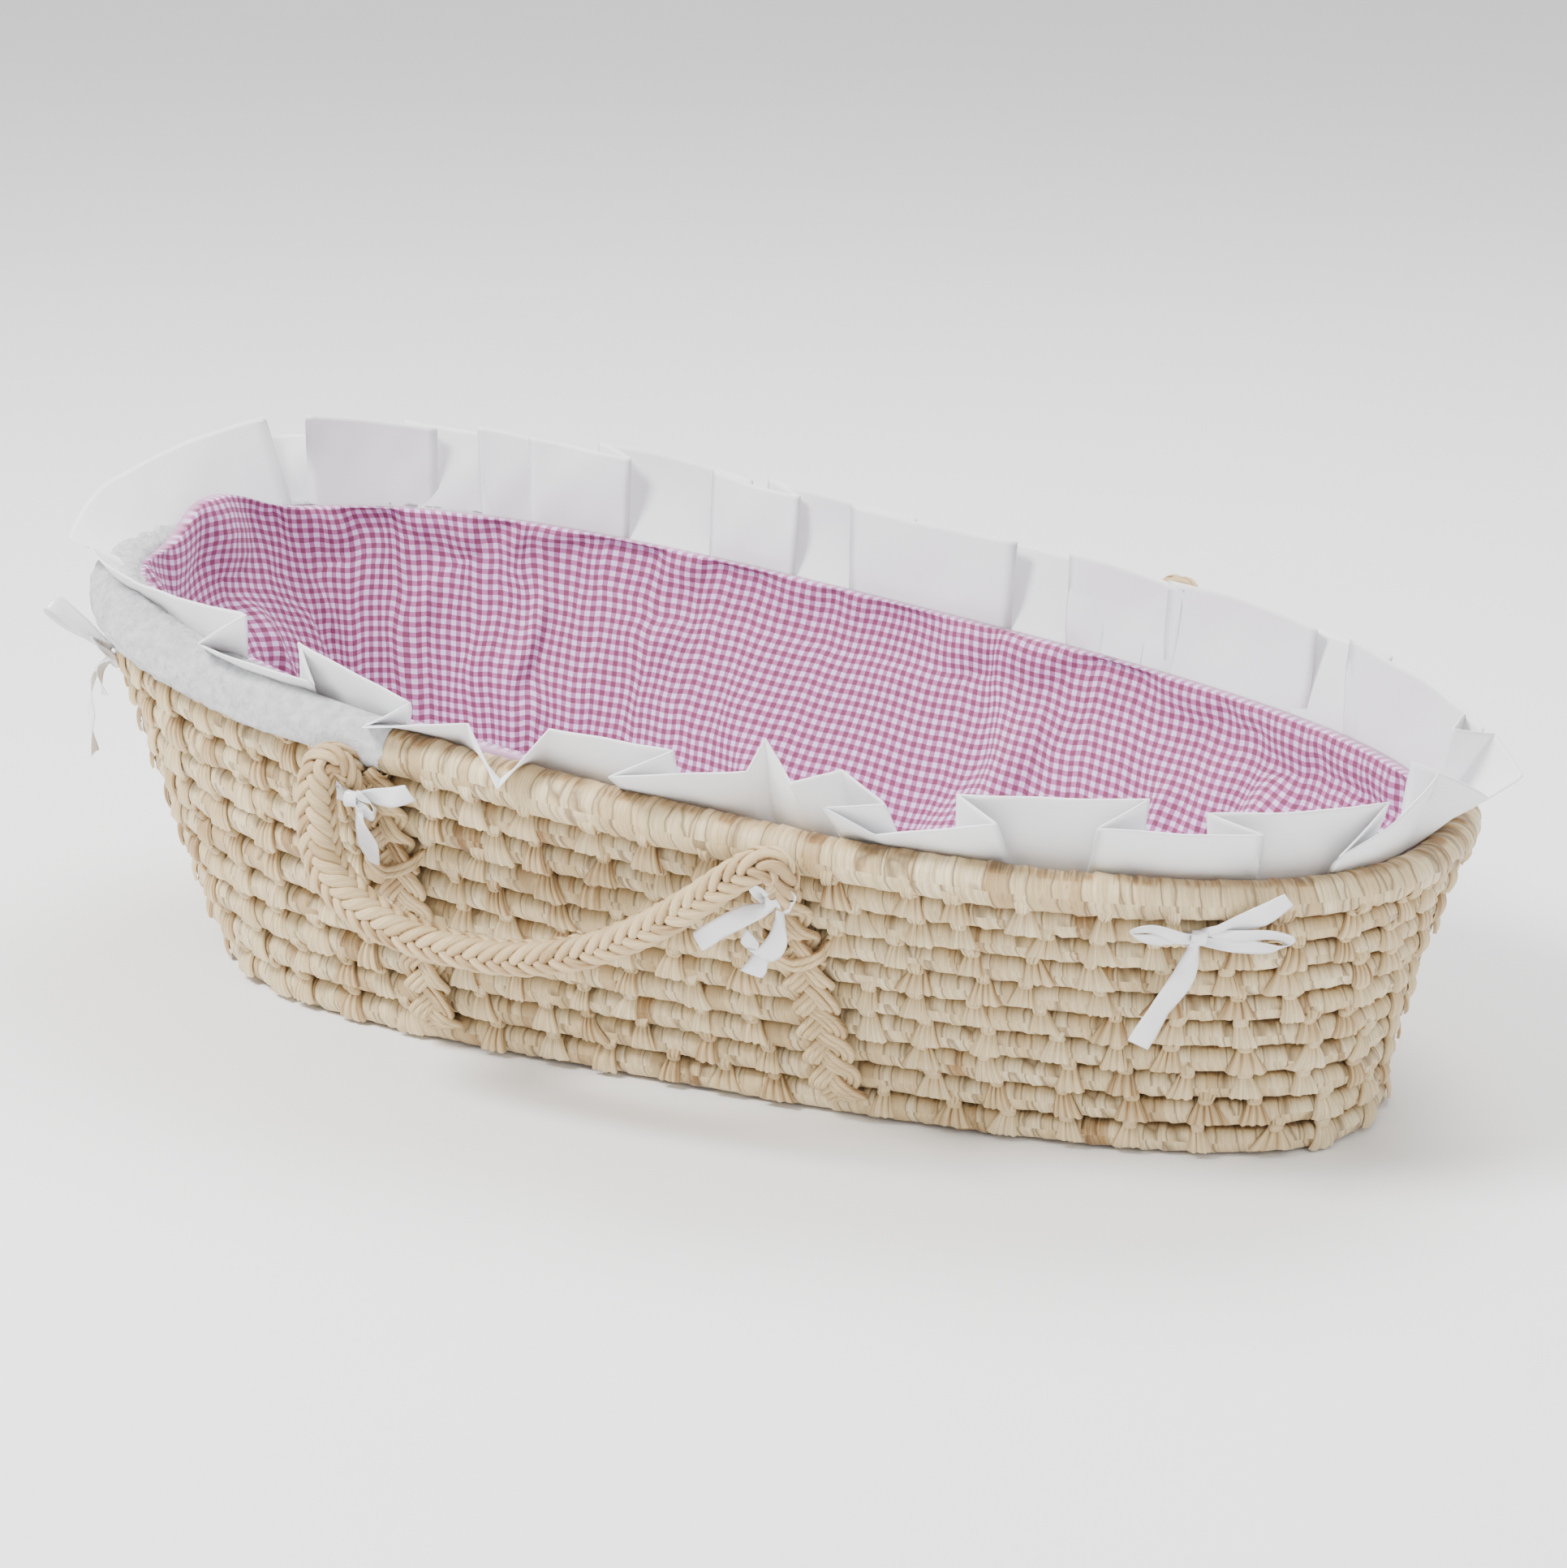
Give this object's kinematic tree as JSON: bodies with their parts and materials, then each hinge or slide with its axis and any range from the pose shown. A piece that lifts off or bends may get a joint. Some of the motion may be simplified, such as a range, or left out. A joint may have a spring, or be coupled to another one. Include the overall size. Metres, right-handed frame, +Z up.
{
  "type": "moses basket",
  "caption": "Coiled husk moses basket, higher at the head, with a quilted check liner, pleated frill, ribbon bows, lift-out mattress and swinging rope handles.",
  "frame": {"origin": "on the surface the basket stands on, at the underside of the base mat, below the middle of the rim", "axes": "+X to the foot end, which is the lower end, +Y to the basket's left side seen from the head end, +Z up"},
  "size_m": [0.8362, 0.476, 0.2765],
  "materials": {
    "husk": "matte dried husk, wrapped",
    "husk_tie": "matte dried husk, knotted",
    "braid": "matte braided husk cord",
    "gingham": "pink and white woven cotton check",
    "fleece": "soft matte fleece",
    "frill_cotton": "crisp plain white cotton",
    "pad_foam": "matte foam",
    "sheet_cotton": "plain white cotton",
    "satin_ribbon": "glossy white satin"
  },
  "bodies": {
    "basket": {"base_mat": "husk", "coil_01": "husk", "coil_02": "husk", "coil_03": "husk", "coil_04": "husk", "coil_05": "husk", "coil_06": "husk", "coil_07": "husk", "coil_08": "husk", "coil_09": "husk", "rim_coil": "husk", "husk_ties_01": "husk_tie", "husk_ties_02": "husk_tie", "husk_ties_03": "husk_tie", "husk_ties_04": "husk_tie", "husk_ties_05": "husk_tie", "husk_ties_06": "husk_tie", "husk_ties_07": "husk_tie", "husk_ties_08": "husk_tie", "husk_ties_09": "husk_tie", "liner": "gingham", "batting_band": "fleece", "frill": "frill_cotton", "front_turn_head": "braid", "front_turn_foot": "braid", "back_turn_head": "braid", "back_turn_foot": "braid", "front_strap_head": "braid", "front_strap_foot": "braid", "back_strap_head": "braid", "back_strap_foot": "braid", "strap_lashings": "braid", "bow_head_front": "satin_ribbon", "bow_head_back": "satin_ribbon", "bow_front_handle_head": "satin_ribbon", "bow_front_handle_foot": "satin_ribbon", "bow_back_handle_head": "satin_ribbon", "bow_back_handle_foot": "satin_ribbon", "bow_foot_front": "satin_ribbon", "bow_foot_back": "satin_ribbon"},
    "front_handle": {"front_handle": "braid", "front_handle_eyes": "braid"},
    "back_handle": {"back_handle": "braid", "back_handle_eyes": "braid"},
    "mattress": {"mattress_pad": "pad_foam", "fitted_sheet": "sheet_cotton"}
  },
  "joints": [
    {"name": "front_handle_swing", "type": "hinge", "parent": "basket", "child": "front_handle", "pos_m": [-0.147, -0.225, 0.187], "axis": [-0.9977, 0, 0.0678], "range_deg": [-10, 180]},
    {"name": "back_handle_swing", "type": "hinge", "parent": "basket", "child": "back_handle", "pos_m": [-0.1, 0.228, 0.219], "axis": [0.9977, 0, -0.0678], "range_deg": [-3, 180]},
    {"name": "mattress_lift", "type": "slide", "parent": "basket", "child": "mattress", "axis": [0, 0, 1], "range_m": [0, 0.3]}
  ]
}
